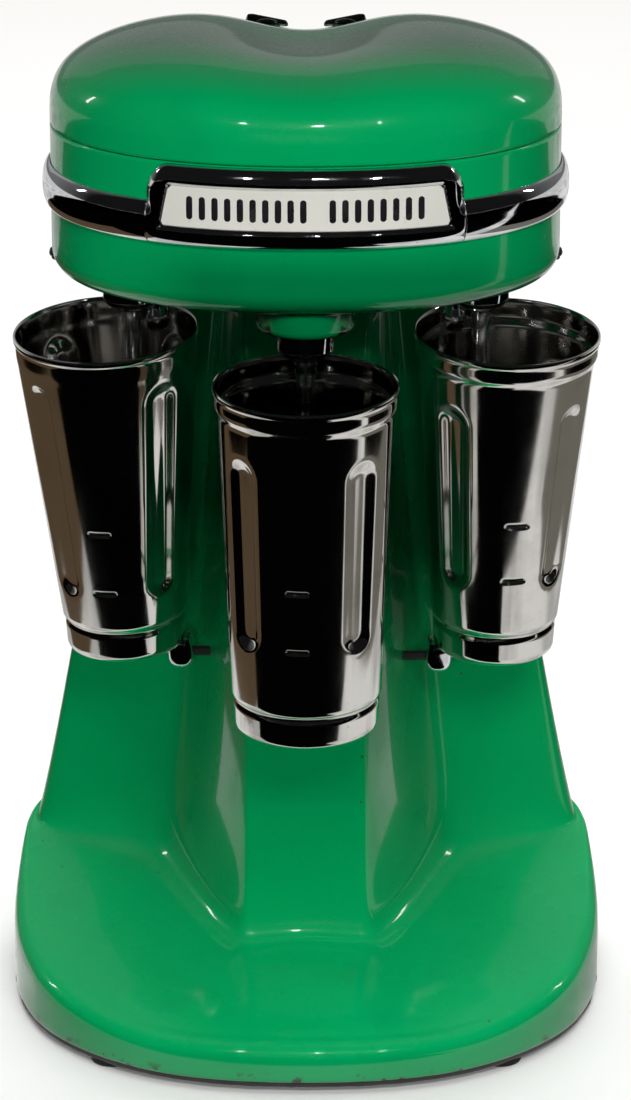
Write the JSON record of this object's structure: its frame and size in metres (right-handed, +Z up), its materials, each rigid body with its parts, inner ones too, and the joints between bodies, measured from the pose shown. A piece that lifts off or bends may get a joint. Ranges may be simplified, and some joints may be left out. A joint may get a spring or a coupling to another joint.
{
  "type": "milkshake mixer",
  "caption": "Enamelled counter milkshake mixer: motor head on a flared pier and tray foot, spindles with beaters reaching into leaning steel cups, chrome belt with a blank name plate.",
  "frame": {"origin": "on the floor under the middle of the machine's bounding box", "axes": "+Z up, front with the name plate towards -Y, +X to the right seen from the front"},
  "size_m": [0.314, 0.2508, 0.53],
  "materials": {
    "green_enamel": "glossy vitreous enamel",
    "chrome": "mirror chrome",
    "stainless_steel": "polished stainless steel",
    "plate_cream": "satin silver-cream",
    "black_bakelite": "moulded, semi-gloss",
    "black_rubber": "matt",
    "black_paint": "satin black",
    "motor_iron": "laminated iron",
    "zinc_steel": "zinc-plated",
    "bearing_bronze": "sintered bronze"
  },
  "bodies": {
    "stand": {"base_plate": "black_paint", "cord_gland": "black_bakelite", "cup_hook_centre": "chrome", "cup_hook_left": "chrome", "cup_hook_right": "chrome", "cup_rest_centre": "chrome", "cup_rest_left": "chrome", "cup_rest_right": "chrome", "foot_front_left": "black_rubber", "foot_front_right": "black_rubber", "foot_rear_left": "black_rubber", "foot_rear_right": "black_rubber", "foot_screw_front_left": "zinc_steel", "foot_screw_front_right": "zinc_steel", "foot_screw_rear_left": "zinc_steel", "foot_screw_rear_right": "zinc_steel", "lower_bearing_centre": "bearing_bronze", "lower_bearing_left": "bearing_bronze", "lower_bearing_right": "bearing_bronze", "lower_housing": "green_enamel", "motor_bridge": "zinc_steel", "name_plate": "plate_cream", "neck_bolt_left": "zinc_steel", "neck_bolt_right": "zinc_steel", "neck_gasket": "black_rubber", "side_screw_left": "black_paint", "side_screw_right": "black_paint", "stand_shell": "green_enamel", "stator_centre": "motor_iron", "stator_left": "motor_iron", "stator_right": "motor_iron", "switch_body_centre": "black_bakelite", "switch_body_left": "black_bakelite", "switch_body_right": "black_bakelite", "terminal_block": "black_bakelite", "trim_band": "chrome", "upper_bearing_centre": "bearing_bronze", "upper_bearing_left": "bearing_bronze", "upper_bearing_right": "bearing_bronze", "upper_cover": "green_enamel"},
    "spindle_left": {"spindle_left": "stainless_steel", "rotor_left": "motor_iron", "collar_left": "chrome", "agitator_left": "stainless_steel"},
    "knob_left": {"switch_knob_left": "black_bakelite"},
    "cup_left": {"cup_left": "stainless_steel"},
    "spindle_centre": {"spindle_centre": "stainless_steel", "rotor_centre": "motor_iron", "collar_centre": "chrome", "agitator_centre": "stainless_steel"},
    "knob_centre": {"switch_knob_centre": "black_bakelite"},
    "cup_centre": {"cup_centre": "stainless_steel"},
    "spindle_right": {"spindle_right": "stainless_steel", "rotor_right": "motor_iron", "collar_right": "chrome", "agitator_right": "stainless_steel"},
    "knob_right": {"switch_knob_right": "black_bakelite"},
    "cup_right": {"cup_right": "stainless_steel"}
  },
  "joints": [
    {"name": "spindle_left_spin", "type": "hinge", "parent": "stand", "child": "spindle_left", "pos_m": [-0.09, 0.024, 0.44], "axis": [0, 0, 1], "continuous": true},
    {"name": "spindle_centre_spin", "type": "hinge", "parent": "stand", "child": "spindle_centre", "pos_m": [0, -0.066, 0.44], "axis": [0, 0, 1], "continuous": true},
    {"name": "spindle_right_spin", "type": "hinge", "parent": "stand", "child": "spindle_right", "pos_m": [0.09, 0.024, 0.44], "axis": [0, 0, 1], "continuous": true},
    {"name": "knob_left_turn", "type": "hinge", "parent": "stand", "child": "knob_left", "pos_m": [-0.0205, 0.085, 0.51066], "axis": [0, 0.5356, 0.8445], "range_deg": [0, 90]},
    {"name": "knob_centre_turn", "type": "hinge", "parent": "stand", "child": "knob_centre", "pos_m": [0, 0.0945, 0.49858], "axis": [0, 0.9582, 0.286], "range_deg": [0, 90]},
    {"name": "knob_right_turn", "type": "hinge", "parent": "stand", "child": "knob_right", "pos_m": [0.0205, 0.085, 0.51066], "axis": [0, 0.5356, 0.8445], "range_deg": [-90, 0]},
    {"name": "cup_left_lift", "type": "slide", "parent": "stand", "child": "cup_left", "axis": [-0.0483, -0.0853, 0.9952], "range_m": [0, 0.015]},
    {"name": "cup_centre_lift", "type": "slide", "parent": "stand", "child": "cup_centre", "axis": [0, -0.0491, 0.9988], "range_m": [0, 0.015]},
    {"name": "cup_right_lift", "type": "slide", "parent": "stand", "child": "cup_right", "axis": [0.0283, -0.0849, 0.996], "range_m": [0, 0.015]}
  ]
}
